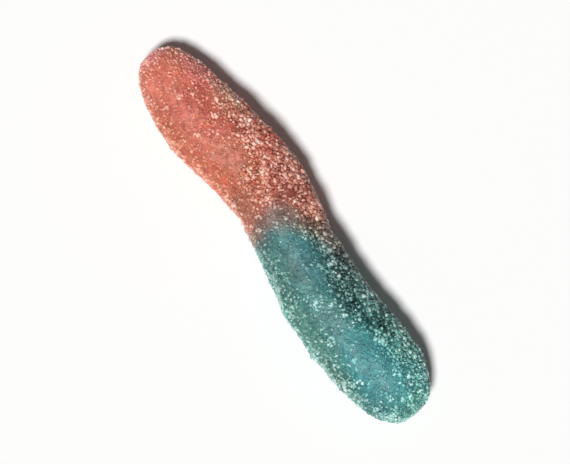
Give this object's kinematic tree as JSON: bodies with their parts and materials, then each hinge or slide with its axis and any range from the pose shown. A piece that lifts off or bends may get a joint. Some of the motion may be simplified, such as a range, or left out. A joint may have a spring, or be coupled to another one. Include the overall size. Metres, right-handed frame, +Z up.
{
  "type": "gummy worm",
  "caption": "Sugar-sanded gummy worm, salmon red on one half and teal blue on the other, lying in a soft S on its flat underside.",
  "frame": {"origin": "middle of the worm's length and width, on the surface that its flat underside rests on", "axes": "+X along the worm from its red end to its blue end, +Z up out of its round back"},
  "size_m": [0.055, 0.0135, 0.0093],
  "materials": {
    "sugared_gel": "soft translucent jelly under a crust of sour sugar, salmon red towards -X and teal blue towards +X"
  },
  "bodies": {
    "root": {"gummy_worm": "sugared_gel"}
  },
  "joints": []
}
